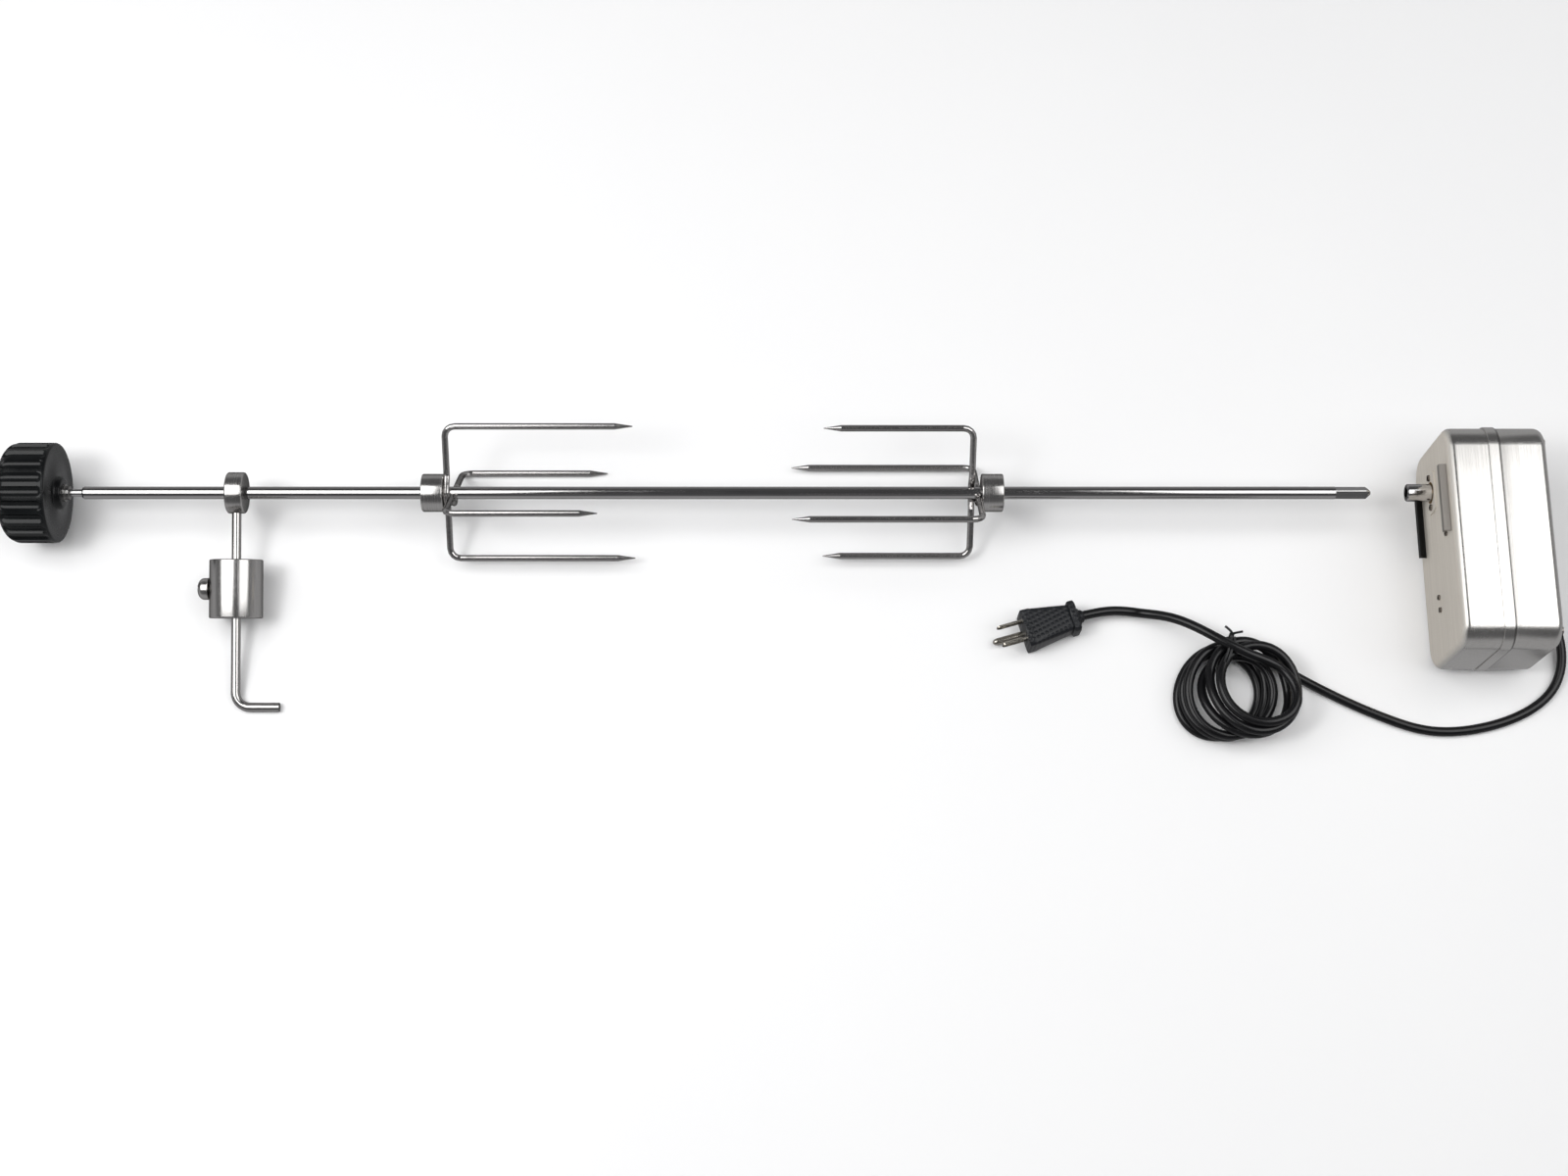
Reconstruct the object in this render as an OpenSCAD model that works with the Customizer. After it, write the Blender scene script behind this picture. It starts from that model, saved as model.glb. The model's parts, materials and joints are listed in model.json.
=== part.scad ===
// Grill rotisserie kit: a spit rod with its handle, counterweight and two meat forks,
// lying in line with the geared drive motor that turns it.
// X runs along the spit, from the handle to the motor. Z is up, and z = 0 is the table.

/* [Spit rod] */
// Diameter of the round spit rod
rod_d = 8.5; // [8:0.1:9]
// Length of the full-diameter part of the rod
rod_len = 855.4; // [700:0.1:1000]
// Width across the flats of the square drive tip
tip_square = 6.4; // [6:0.1:6.8]
// Length of the square drive tip, with its point
tip_len = 24.2; // [20:0.1:26]
// Height of the spit's axis above the table
axis_h = 41; // [41:0.5:43]

/* [Handle] */
// Diameter of the handle knob over its ribs
knob_d = 68.5; // [60:0.5:74]
// Thickness of the knob along the spit
knob_t = 34; // [30:0.5:40]
// Number of ribs round the knob
knob_ribs = 22; // [12:1:24]

/* [Counterweight] */
// Diameter of the collar on the rod
collar_d = 28.3; // [24:0.1:32]
// Width of the collar along the rod
collar_w = 12; // [10:0.5:16]
// Distance from the collar's middle to the left end of the full-diameter rod
collar_at = 105; // [60:1:130]
// Diameter of the bent arm
arm_d = 6.35; // [6:0.05:7]
// Distance along the arm from the spit's axis to the middle of the toe
arm_len = 146.4; // [130:0.1:150]
// Length of the toe at the arm's end
toe_len = 30; // [24:1:40]
// Diameter of the weight
weight_d = 36; // [30:0.5:38]
// Length of the weight along the arm
weight_len = 40; // [34:1:44]
// Distance along the arm from the spit's axis to the weight's middle
weight_at = 65.7; // [50:0.1:80]

/* [Forks] */
// Diameter of each fork's hub
hub_d = 26; // [24:0.5:30]
// Width of each hub along the rod
hub_w = 14.8; // [12:0.1:18]
// Diameter of the fork wire
wire_d = 4.4; // [4:0.1:4.8]
// Distance of each prong from the rod's axis
fork_r = 47; // [42:0.5:47.5]
// Reach of the long prongs beyond the hub's face
long_reach = 129.5; // [110:1:135]
// Reach of the short prongs beyond the hub's face
short_reach = 108; // [90:1:110]
// Turn of the left fork's long prongs about the rod
left_turn = 35.7; // [30:0.1:38]
// Turn of the right fork's long prongs about the rod
right_turn = 130.8; // [128:0.1:136]
// Gap between the spit's tip and the drive socket
spit_gap = 24.6; // [10:0.1:40]

/* [Motor] */
// Width of the motor housing along the spit
motor_w = 66.6; // [64:0.1:70]
// Length of the motor housing from front to back
motor_l = 153.5; // [150:0.5:160]
// Height of the motor housing's shells
motor_h = 84; // [82:1:88]
// Radius of the housing's corners
motor_corner = 17; // [12:0.5:20]
// Thickness of the housing's sheet
sheet = 1.2; // [1:0.1:1.5]
// Distance from the spit's axis to the housing's back end
motor_back = 35.5; // [32:0.5:38]
// Outside diameter of the drive socket
socket_d = 12; // [11:0.1:12.6]
// How far the drive socket stands out of the housing
socket_out = 17.8; // [16:0.1:20]

/* [Gears] */
// Module of the gear teeth
gear_module = 0.95; // [0.9:0.01:0.96]
// Teeth on each large gear
gear_teeth = 48; // [48:4:48]
// Teeth on each pinion
pinion_teeth = 12; // [12:1:12]

/* [Mains lead] */
// Diameter of the mains lead
cord_d = 6.4; // [6:0.1:6.8]

/* [Hidden] */
$fn = 64;

fit = 0.05;               // radial clearance of a running or sliding fit

// Stations along the spit, counted from the knob's outer end
boss_t = 4;
ferrule_t = 4;
neck_bare = 9;
neck_d = 5.1;
neck_in_knob = 17;
rocker_rise = 3;
total_len = knob_t + boss_t + ferrule_t + neck_bare + rod_len + tip_len
    + spit_gap + socket_out + motor_w + rocker_rise;
knob_x = -total_len / 2;
knob_face_x = knob_x + knob_t;
boss_x = knob_face_x + boss_t;
ferrule_x = boss_x + ferrule_t;
rod_x = ferrule_x + neck_bare;
shoulder_x = rod_x + rod_len;
tip_x = shoulder_x + tip_len;
mouth_x = tip_x + spit_gap;
face_x = mouth_x + socket_out;
rear_x = face_x + motor_w;
collar_x = rod_x + collar_at;
left_face_x = -223.4;     // prong side of the left hub
right_face_x = 143.4;     // prong side of the right hub

// The arm slopes down until its toe rests on the table
toe_rest = 0.2;
arm_slope = asin((axis_h - arm_d / 2 - toe_rest) / arm_len);
toe_reach = arm_len * cos(arm_slope);
axis_y = (toe_reach + arm_d / 2 - fork_r * cos(left_turn) - wire_d / 2) / 2;

// Housing, across the spit
back_y = axis_y + motor_back;
front_y = back_y - motor_l;
band_rise = 1;
band_w = 7.5;
seam_x = face_x + 27;
shell_z = band_rise + motor_h / 2;

// Gear train: four axes in a row, each one centre distance nearer the front
centres = gear_module * (gear_teeth + pinion_teeth) / 2;
second_y = axis_y - centres;
first_y = axis_y - 2 * centres;
rotor_y = axis_y - 3 * centres;
plate_t = 1.5;
front_plate_x = face_x + sheet;
output_gear_x = face_x + 5.8;
output_gear_w = 8;
second_gear_x = output_gear_x + 9.5;
second_gear_w = 5;
first_gear_x = second_gear_x + 7;
first_gear_w = 4;
rear_plate_x = first_gear_x + 7;
pin_d = 4;
stub_d = 7;
bush_d = 15;              // outside diameter of the socket's bush
plate_z = [15.4, 70.6];

// Electric motor
shaft_d = 3;
cup_d = 50;
cup_x = rear_plate_x + plate_t;
cup_w = 24;
magnet_d = 22;

// Rocker switch on the housing's hidden face
switch_y = 20;
rocker_tilt = 9;
rocker_h = 9.6;
rocker_w = 16;
rocker_hinge = 3.5;       // depth of the rocker's hinge below the face
pivot_d = 2.4;            // diameter of the rocker's pivot pin
rocker_top = (rocker_rise + rocker_hinge - rocker_h / 2 * sin(rocker_tilt)) / cos(rocker_tilt);

// Strain relief: a tapered boot that leaves the rear face aslant
relief_at = [rear_x, -14, 14];
relief_yaw = -40;
relief_pitch = 8;
relief_len = 24;
relief_dir = [cos(relief_pitch) * cos(relief_yaw), cos(relief_pitch) * sin(relief_yaw),
    -sin(relief_pitch)];
cord_start = relief_at + relief_len * relief_dir;

// Route of the lead from the boot to the tied coil, then from the coil to the plug
cord_z = cord_d / 2 + 0.1;
lead_route = [
    [540, -41, 7.5], [542, -53, 4.5], [541, -66, cord_z], [534, -79, cord_z],
    [522, -89, cord_z], [508, -96.5, cord_z], [492, -102, cord_z], [475, -105.5, cord_z],
    [458, -107, cord_z], [440, -105, cord_z], [423, -99, cord_z], [406, -92, cord_z],
    [389, -84, cord_z], [372, -75, cord_z], [356, -66, 3.6], [343, -59, 4.5]
];
plug_at = [213, -27, 11.5];
plug_yaw = 196;
plug_dir = [cos(plug_yaw), sin(plug_yaw), 0];
tail_route = [
    [306, -50, cord_z], [296.5, -43.5, 4.5], [286, -36.5, 3.6], [274, -29.5, cord_z],
    [260, -24.5, cord_z], [246, -22, 4.5], [233, -22, 7.5], [222, -24.4, 10.5]
];
coil_h = 34;
tie_at = [316, -50.5];
left_lobe = [306, -82, 31];    // middle of the left loops, and their radius
right_lobe = [330, -80, 32];
tie_r = 12;

// ---------------------------------------------------------------- helpers

function unit(v) = v / norm(v);
function tangents(p) =
    [for (i = [0 : len(p) - 1]) unit(p[min(i + 1, len(p) - 1)] - p[max(i - 1, 0)])];
function carried(n, t) = unit(n - (n * t) * t);
function normals(t, n, i = 0, done = []) =
    i == len(t) ? done
    : let (m = carried(n, t[i])) normals(t, m, i + 1, concat(done, [m]));

// A closed tube along the points, with one radius for each point
module sweep(points, radii, sides, up = [0, 0, 1]) {
    t = tangents(points);
    n = normals(t, up);
    rings = len(points);
    skin = [
        for (i = [0 : rings - 1], k = [0 : sides - 1])
            let (a = 360 * k / sides)
            points[i] + radii[i] * (cos(a) * n[i] + sin(a) * cross(t[i], n[i]))
    ];
    walls = [
        for (i = [0 : rings - 2], k = [0 : sides - 1])
            let (a = i * sides + k, b = i * sides + (k + 1) % sides)
            [a, a + sides, b + sides, b]
    ];
    start_cap = [for (k = [0 : sides - 1]) k];
    end_cap = [for (k = [0 : sides - 1]) rings * sides - 1 - k];
    polyhedron(points = skin, faces = concat(walls, [start_cap, end_cap]), convexity = 8);
}

// A cylinder along X from x, on the axis through (y, z)
module bar(x, y, z, d, len) {
    translate([x, y, z]) rotate([0, 90, 0]) cylinder(h = len, d = d);
}

// An outline drawn in Y and Z, thickened along X from x
module slab(x, len) {
    translate([x, 0, 0]) rotate([90, 0, 90]) linear_extrude(height = len) children();
}

// A rectangle between two corners, with true round corners
module rounded(low, high, r) {
    translate([low[0] + r, low[1]]) square([high[0] - low[0] - 2 * r, high[1] - low[1]]);
    translate([low[0], low[1] + r]) square([high[0] - low[0], high[1] - low[1] - 2 * r]);
    for (y = [low[0] + r, high[0] - r], z = [low[1] + r, high[1] - r]) {
        translate([y, z]) circle(r = r);
    }
}

// The housing's outline, grown outwards by a margin
module housing_outline(grow) {
    low = [front_y - grow, shell_z - motor_h / 2 - grow];
    high = [back_y + grow, shell_z + motor_h / 2 + grow];
    rounded(low, high, motor_corner + grow);
}

// Points of a spur gear: an involute flank on each side of every tooth
function involute(rb, r) = let (a = acos(rb / r)) tan(a) * 180 / PI - a;
function gear_points(teeth, addendum, thin) =
    let (
        rp = gear_module * teeth / 2,
        rb = rp * cos(20),
        rr = rp - 1.2 * gear_module,
        low = max(rb + 0.01, rr),
        half = 90 / teeth - thin / rp * 90 / PI,
        radii = [low, rp, rp + addendum],
        spread = [for (r = radii) half + involute(rb, rp) - involute(rb, r)],
        left = [for (k = [0 : 2]) [radii[k], -spread[k]]],
        right = [for (k = [2 : -1 : 0]) [radii[k], spread[k]]],
        root = rr < low ? [[rr, -spread[0]]] : [],
        last = rr < low ? [[rr, spread[0]]] : [],
        tooth = concat(root, left, right, last)
    )
    [
        for (i = [0 : teeth - 1], p = tooth)
            let (a = 360 * i / teeth + p[1])
            [p[0] * cos(a), p[0] * sin(a)]
    ];

gear_thin = 0.1;          // metal taken off each flank, for backlash
module big_gear(x, y, w) {
    translate([0, y, axis_h]) slab(x, w) rotate(180 / gear_teeth)
        polygon(gear_points(gear_teeth, 0.68 * gear_module, gear_thin));
}
module pinion(x, y, w) {
    translate([0, y, axis_h]) slab(x, w)
        polygon(gear_points(pinion_teeth, 0.9 * gear_module, gear_thin));
}

// A pan-head screw pointing along +X, with a cross recess
module screw(x, y, z, head_d, head_h, shank_d, shank_len) {
    difference() {
        union() {
            bar(x - head_h, y, z, head_d, head_h);
            bar(x - 0.01, y, z, shank_d, shank_len);
        }
        for (a = [0, 90]) {
            translate([x - head_h, y, z]) rotate([a, 0, 0])
                translate([-0.5, -head_d * 0.32, -head_d * 0.07])
                    cube([0.5 + head_h * 0.6, head_d * 0.64, head_d * 0.14]);
        }
    }
}

// ---------------------------------------------------------------- spit and handle

module spit_rod() {
    point_len = 3.4;
    square_len = tip_len - point_len;
    color("silver") union() {
        bar(boss_x - boss_t - neck_in_knob, axis_y, axis_h, neck_d, neck_in_knob + boss_t
            + ferrule_t + neck_bare + 0.5);
        translate([rod_x, axis_y, axis_h]) rotate([0, 90, 0])
            cylinder(h = 1, d1 = rod_d - 1.2, d2 = rod_d);
        bar(rod_x + 1, axis_y, axis_h, rod_d, rod_len - 1);
        translate([shoulder_x - 0.5, axis_y, axis_h]) intersection() {
            rotate([45, 0, 0]) translate([0, -tip_square / 2, -tip_square / 2])
                cube([tip_len + 0.5, tip_square, tip_square]);
            rotate([0, 90, 0]) union() {
                cylinder(h = square_len + 0.5, d = rod_d);
                translate([0, 0, square_len + 0.5])
                    cylinder(h = point_len, d1 = rod_d, d2 = 2.4);
            }
        }
    }
}

module handle_knob() {
    rim = 9;
    flute_d = 7;
    color("#1c1c1e") difference() {
        union() {
            translate([knob_x, axis_y, axis_h]) rotate([0, 90, 0]) rotate_extrude($fn = 96)
                union() {
                    square([knob_d / 2 - rim, knob_t]);
                    translate([0, rim]) square([knob_d / 2, knob_t - rim]);
                    intersection() {
                        translate([knob_d / 2 - rim, rim]) circle(r = rim);
                        square([knob_d / 2, knob_t]);
                    }
                }
            bar(knob_face_x - 0.5, axis_y, axis_h, 22, boss_t + 0.5);
        }
        for (i = [0 : knob_ribs - 1]) {
            translate([0, axis_y, axis_h]) rotate([360 * (i + 0.5) / knob_ribs, 0, 0])
                bar(knob_x - 1, 0, knob_d / 2 + 1.4, flute_d, knob_t + 2);
        }
        bar(boss_x - boss_t - neck_in_knob - 1, axis_y, axis_h, 12, neck_in_knob + boss_t + 2);
    }
}

module knob_insert() {
    color("darkgoldenrod") difference() {
        bar(boss_x - boss_t - neck_in_knob - 1, axis_y, axis_h, 12, neck_in_knob + boss_t);
        bar(boss_x - boss_t - neck_in_knob, axis_y, axis_h, neck_d, neck_in_knob + boss_t + 1);
    }
}

module knob_ferrule() {
    color("silver") difference() {
        union() {
            bar(boss_x - 1, axis_y, axis_h, 9.4, ferrule_t + 1);
            bar(boss_x, axis_y, axis_h, 12, 1.2);
        }
        bar(boss_x - 2, axis_y, axis_h, neck_d, ferrule_t + 4);
    }
}

// ---------------------------------------------------------------- counterweight

// Puts children with their X along the arm, pointing out from the spit's axis
module on_arm() {
    translate([collar_x, axis_y, axis_h]) rotate([arm_slope, 0, 0]) rotate([0, 0, -90]) children();
}

module balance_collar() {
    chamfer = 1;
    color("gainsboro") difference() {
        translate([collar_x - collar_w / 2, axis_y, axis_h]) rotate([0, 90, 0]) union() {
            cylinder(h = chamfer, d1 = collar_d - 2 * chamfer, d2 = collar_d);
            translate([0, 0, chamfer]) cylinder(h = collar_w - 2 * chamfer, d = collar_d);
            translate([0, 0, collar_w - chamfer])
                cylinder(h = chamfer, d1 = collar_d, d2 = collar_d - 2 * chamfer);
        }
        bar(collar_x - collar_w, axis_y, axis_h, rod_d + 2 * fit, 2 * collar_w);
        on_arm() rotate([0, 90, 0]) cylinder(h = collar_d, d = arm_d + 2 * fit);
    }
}

module balance_arm() {
    bend_r = 10;
    start = rod_d / 2 + 0.02;
    straight = arm_len - bend_r - start;
    color("silver") on_arm() union() {
        translate([start, 0, 0]) rotate([0, 90, 0]) cylinder(h = straight, d = arm_d);
        translate([arm_len - bend_r, bend_r, 0]) rotate([0, 0, -90])
            rotate_extrude(angle = 90) translate([bend_r, 0]) circle(d = arm_d, $fn = 32);
        translate([arm_len, bend_r, 0]) rotate([-90, 0, 0])
            cylinder(h = toe_len - bend_r, d = arm_d);
    }
}

module balance_weight() {
    chamfer = 1;
    color("gainsboro") on_arm() difference() {
        translate([weight_at - weight_len / 2, 0, 0]) rotate([0, 90, 0]) union() {
            cylinder(h = chamfer, d1 = weight_d - 2 * chamfer, d2 = weight_d);
            translate([0, 0, chamfer]) cylinder(h = weight_len - 2 * chamfer, d = weight_d);
            translate([0, 0, weight_len - chamfer])
                cylinder(h = chamfer, d1 = weight_d, d2 = weight_d - 2 * chamfer);
        }
        translate([weight_at - weight_len, 0, 0]) rotate([0, 90, 0])
            cylinder(h = 2 * weight_len, d = arm_d + 2 * fit);
        translate([weight_at, 0, 0]) rotate([90, 0, 0]) cylinder(h = weight_d, d = 6 + 2 * fit);
    }
}

module weight_thumbscrew() {
    head_d = 14.5;
    head_t = 7.5;
    seat = weight_d / 2 + 0.5;
    color("silver") on_arm() translate([weight_at, 0, 0]) rotate([90, 0, 0]) difference() {
        union() {
            translate([0, 0, arm_d / 2 + 0.1]) cylinder(h = seat - arm_d / 2, d = 6);
            translate([0, 0, seat]) cylinder(h = head_t - 2, d = head_d);
            translate([0, 0, seat + head_t - 2])
                cylinder(h = 2, d1 = head_d, d2 = head_d - 5);
        }
        translate([-head_d, -0.6, seat + head_t - 1.5]) cube([2 * head_d, 1.2, 2]);
    }
}

// ---------------------------------------------------------------- meat forks

// side is 1 where the prongs point along +X, and -1 where they point back
module fork_hub(x, side) {
    back = side > 0 ? x - hub_w : x;
    color("gainsboro") difference() {
        translate([back, axis_y, axis_h]) rotate([0, 90, 0]) union() {
            cylinder(h = 0.8, d1 = hub_d - 1.6, d2 = hub_d);
            translate([0, 0, 0.8]) cylinder(h = hub_w - 1.6, d = hub_d);
            translate([0, 0, hub_w - 0.8]) cylinder(h = 0.8, d1 = hub_d, d2 = hub_d - 1.6);
        }
        bar(back - 1, axis_y, axis_h, rod_d + 2 * fit, hub_w + 2);
        translate([back + hub_w / 2, axis_y, axis_h]) rotate([180, 0, 0])
            cylinder(h = hub_d, d = 6 + 2 * fit);
    }
}

// One bent wire: two prongs joined by a crossbar that passes round the rod.
// It is laid out with the prongs along +X and the crossbar along Y.
module prong_pair(x, side, turn, level, reach) {
    bend = 7;
    round_w = 14;
    round_r = rod_d / 2 + wire_d / 2 + 0.5;
    tip = 12;
    corner = [for (a = [0 : 22.5 : 90]) [level + bend * (1 - cos(a)), fork_r - bend * (1 - sin(a))]];
    wing = concat(
        [[reach, fork_r], [reach - tip * 0.5, fork_r], [reach - tip, fork_r]],
        [for (i = [len(corner) - 1 : -1 : 0]) corner[i]]
    );
    half = [for (p = wing) [p[0], p[1], 0]];
    cross_bar = [
        for (y = [round_w : -round_w / 7 : -round_w])
            [level, y, round_r * pow(cos(90 * y / round_w), 2)]
    ];
    other = [for (i = [len(half) - 1 : -1 : 0]) [half[i][0], -half[i][1], 0]];
    path = concat(half, cross_bar, other);
    ends = len(path) - 1;
    radii = [
        for (i = [0 : ends])
            let (k = min(i, ends - i)) k == 0 ? 0.35 : k == 1 ? wire_d * 0.28 : wire_d / 2
    ];
    translate([x, axis_y, axis_h]) rotate([turn, 0, 0]) mirror([side > 0 ? 0 : 1, 0, 0])
        sweep(path, radii, 16, [0, 0, 1]);
}

long_level = wire_d / 2 - 0.1;
short_level = long_level + wire_d - 0.1;
module left_fork_hub() { fork_hub(left_face_x, 1); }
module right_fork_hub() { fork_hub(right_face_x, -1); }
module left_long_prongs() {
    color("silver") prong_pair(left_face_x, 1, left_turn, long_level, long_reach);
}
module left_short_prongs() {
    color("silver") prong_pair(left_face_x, 1, left_turn + 90, short_level, short_reach);
}
module right_long_prongs() {
    color("silver") prong_pair(right_face_x, -1, right_turn, long_level, long_reach);
}
module right_short_prongs() {
    color("silver") prong_pair(right_face_x, -1, right_turn + 90, short_level, short_reach);
}

// The screw that clamps a hub to the rod, on the hub's underside
module fork_screw(x) {
    color("silver") translate([x, axis_y, axis_h]) rotate([180, 0, 0]) union() {
        translate([0, 0, rod_d / 2 + 0.02]) cylinder(h = hub_d / 2 + 1 - rod_d / 2, d = 6);
        translate([0, 0, hub_d / 2 + 0.6]) cylinder(h = 7, d = 11);
        translate([0, 0, hub_d / 2 + 7.6]) cylinder(h = 1, d1 = 11, d2 = 9);
    }
}
module left_fork_screw() { fork_screw(left_face_x - hub_w / 2); }
module right_fork_screw() { fork_screw(right_face_x + hub_w / 2); }

// ---------------------------------------------------------------- motor housing

// Places of the screws on the output face, as [y, z]
face_spots = [
    [axis_y + 10.5, axis_h], [axis_y - 10.5, axis_h],
    [15, 66],
    [-21.5, 38], [-30.5, 39]
];
post_in = 11.5;           // from the housing's sides to the middle of each post
post_z = motor_h / 2 - post_in;
post_spots = [
    for (y = [front_y + post_in, back_y - post_in], z = [shell_z - post_z, shell_z + post_z]) [y, z]
];

module front_shell() {
    skirt = seam_x + band_w - 0.3 - face_x;
    color("silver") difference() {
        slab(face_x, skirt) housing_outline(0);
        slab(face_x + sheet, skirt) housing_outline(-sheet);
        bar(face_x - 1, axis_y, axis_h, bush_d, 4);
        for (s = face_spots) {
            bar(face_x - 1, s[0], s[1], 2.6, 4);
        }
    }
}

module rear_shell() {
    band_x = seam_x + band_w;
    color("silver") difference() {
        union() {
            slab(seam_x, band_w + 1) housing_outline(band_rise);
            slab(band_x, rear_x - band_x) housing_outline(0);
        }
        slab(seam_x - 1, band_w + 1) housing_outline(fit * 2);
        slab(seam_x, rear_x - sheet - seam_x) housing_outline(-sheet);
        translate([rear_x - 4, switch_y - 9, shell_z - 6.5]) cube([8, 18, 13]);
        for (s = post_spots) {
            bar(rear_x - 3, s[0], s[1], 2.7, 5);
        }
        translate(relief_at) rotate([0, 0, relief_yaw]) rotate([0, 90 + relief_pitch, 0])
            translate([0, 0, -20]) cylinder(h = 40, d = 13);
    }
}

// A channel for the grill's bracket plate, open towards the socket
module rail(z, side) {
    depth = 5;
    lip = 4.5;
    wall = 1.2;
    rail_y = [13.5, 60];
    len = rail_y[1] - rail_y[0];
    color("dimgray") union() {
        translate([face_x - depth, rail_y[0], side > 0 ? z - wall : z]) cube([depth, len, wall]);
        translate([face_x - depth, rail_y[0], side > 0 ? z - lip : z]) cube([wall, len, lip]);
    }
}
module upper_rail() { rail(axis_h + 37, 1); }
module lower_rail() { rail(axis_h - 26, -1); }

module face_screws() {
    color("dimgray") for (i = [0 : len(face_spots) - 1]) {
        seat = i < 2 ? face_x - 1.2 : face_x;
        screw(seat, face_spots[i][0], face_spots[i][1], i < 2 ? 4.4 : 3.6, 1.2, 2.6, 5);
    }
}

module shell_posts() {
    color("silver") for (s = post_spots) {
        difference() {
            bar(face_x + sheet, s[0], s[1], 5, motor_w - 2 * sheet);
            bar(rear_x - 16, s[0], s[1], 2.6, 20);
        }
    }
}

module shell_screws() {
    color("dimgray") for (s = post_spots) {
        mirror([1, 0, 0]) screw(-rear_x, s[0], s[1], 5.2, 1.8, 2.5, 13);
    }
}

module socket_flange() {
    color("silver") difference() {
        slab(face_x - 1.2, 1.2)
            rounded([axis_y - 14.5, axis_h - 9], [axis_y + 14.5, axis_h + 9], 5);
        bar(face_x - 2, axis_y, axis_h, bush_d, 4);
        for (i = [0, 1]) {
            bar(face_x - 2, face_spots[i][0], face_spots[i][1], 2.6, 4);
        }
    }
}

// ---------------------------------------------------------------- gearbox

module output_bushes() {
    color("peru") {
        difference() {
            bar(face_x - 1.2, axis_y, axis_h, bush_d, 5);
            bar(face_x - 2, axis_y, axis_h, socket_d + 2 * fit, 8);
        }
        difference() {
            bar(rear_plate_x - 0.6, axis_y, axis_h, 11, plate_t + 1.6);
            bar(rear_plate_x - 1, axis_y, axis_h, stub_d + 2 * fit, plate_t + 4);
        }
    }
}

module drive_socket() {
    hole = tip_square + 0.25;
    hole_len = 23;
    shoulder = output_gear_x - mouth_x;
    color("silver") difference() {
        union() {
            translate([mouth_x, axis_y, axis_h]) rotate([0, 90, 0])
                cylinder(h = 0.6, d1 = socket_d - 1, d2 = socket_d);
            bar(mouth_x + 0.6, axis_y, axis_h, socket_d, shoulder - 0.6);
            bar(output_gear_x - 0.5, axis_y, axis_h, stub_d,
                rear_plate_x + plate_t + 1 - output_gear_x);
        }
        translate([mouth_x - 1, axis_y, axis_h]) rotate([45, 0, 0])
            translate([0, -hole / 2, -hole / 2]) cube([hole_len + 1, hole, hole]);
    }
}

module output_gear() {
    color("goldenrod") difference() {
        big_gear(output_gear_x, axis_y, output_gear_w);
        bar(output_gear_x - 1, axis_y, axis_h, stub_d, output_gear_w + 2);
    }
}

module second_gear() {
    color("goldenrod") difference() {
        union() {
            pinion(output_gear_x - 0.5, second_y, second_gear_x - output_gear_x + 1);
            big_gear(second_gear_x, second_y, second_gear_w);
        }
        bar(output_gear_x - 2, second_y, axis_h, pin_d + 2 * fit, 20);
    }
}

module first_gear() {
    color("ivory") difference() {
        union() {
            pinion(second_gear_x - 0.5, first_y, first_gear_x - second_gear_x + 1);
            big_gear(first_gear_x, first_y, first_gear_w);
        }
        bar(second_gear_x - 2, first_y, axis_h, pin_d + 2 * fit, 20);
    }
}

pillar_spots = [
    [axis_y + 20, axis_h - 21], [axis_y + 20, axis_h + 21],
    [second_y - centres / 2, axis_h - 22.4], [second_y - centres / 2, axis_h + 22.4]
];

module front_plate() {
    color("lightslategray") difference() {
        slab(front_plate_x, plate_t) rounded([rotor_y - 6, plate_z[0]], [back_y - 5, plate_z[1]], 5);
        bar(front_plate_x - 1, axis_y, axis_h, bush_d, 4);
        for (y = [second_y, first_y]) {
            bar(front_plate_x - 1, y, axis_h, pin_d, 4);
        }
        for (s = face_spots) {
            bar(front_plate_x - 1, s[0], s[1], 2.6, 4);
        }
    }
}

module rear_plate() {
    color("lightslategray") difference() {
        slab(rear_plate_x, plate_t)
            rounded([rotor_y - cup_d / 2 - 1, plate_z[0]], [back_y - 5, plate_z[1]], 5);
        bar(rear_plate_x - 1, axis_y, axis_h, 11, 4);
        for (y = [second_y, first_y]) {
            bar(rear_plate_x - 1, y, axis_h, pin_d, 4);
        }
        bar(rear_plate_x - 1, rotor_y, axis_h, shaft_d + 2 * fit, 4);
    }
}

module plate_pillars() {
    from = front_plate_x + plate_t;
    color("silver") for (s = pillar_spots) {
        bar(from, s[0], s[1], 6, rear_plate_x - from);
    }
}

module gear_pins() {
    color("silver") for (y = [second_y, first_y]) {
        bar(front_plate_x, y, axis_h, pin_d, rear_plate_x + plate_t - front_plate_x);
    }
}

// ---------------------------------------------------------------- electric motor

module rotor_shaft() {
    from = first_gear_x - 1;
    color("silver") bar(from, rotor_y, axis_h, shaft_d, cup_x + cup_w - from);
}

module rotor_pinion() {
    color("goldenrod") difference() {
        pinion(first_gear_x - 0.5, rotor_y, first_gear_w + 1);
        bar(first_gear_x - 2, rotor_y, axis_h, shaft_d, 10);
    }
}

module rotor_magnet() {
    color("#3a3a3c") difference() {
        bar(cup_x + 3, rotor_y, axis_h, magnet_d, cup_w - 7);
        bar(cup_x, rotor_y, axis_h, shaft_d, cup_w);
    }
}

module stator_cup() {
    wall = 1.5;
    color("slategray") difference() {
        bar(cup_x, rotor_y, axis_h, cup_d, cup_w);
        bar(cup_x - 1, rotor_y, axis_h, cup_d - 2 * wall, cup_w - wall + 1);
        bar(cup_x, rotor_y, axis_h, shaft_d + 2 * fit, cup_w + 1);
    }
}

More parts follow.
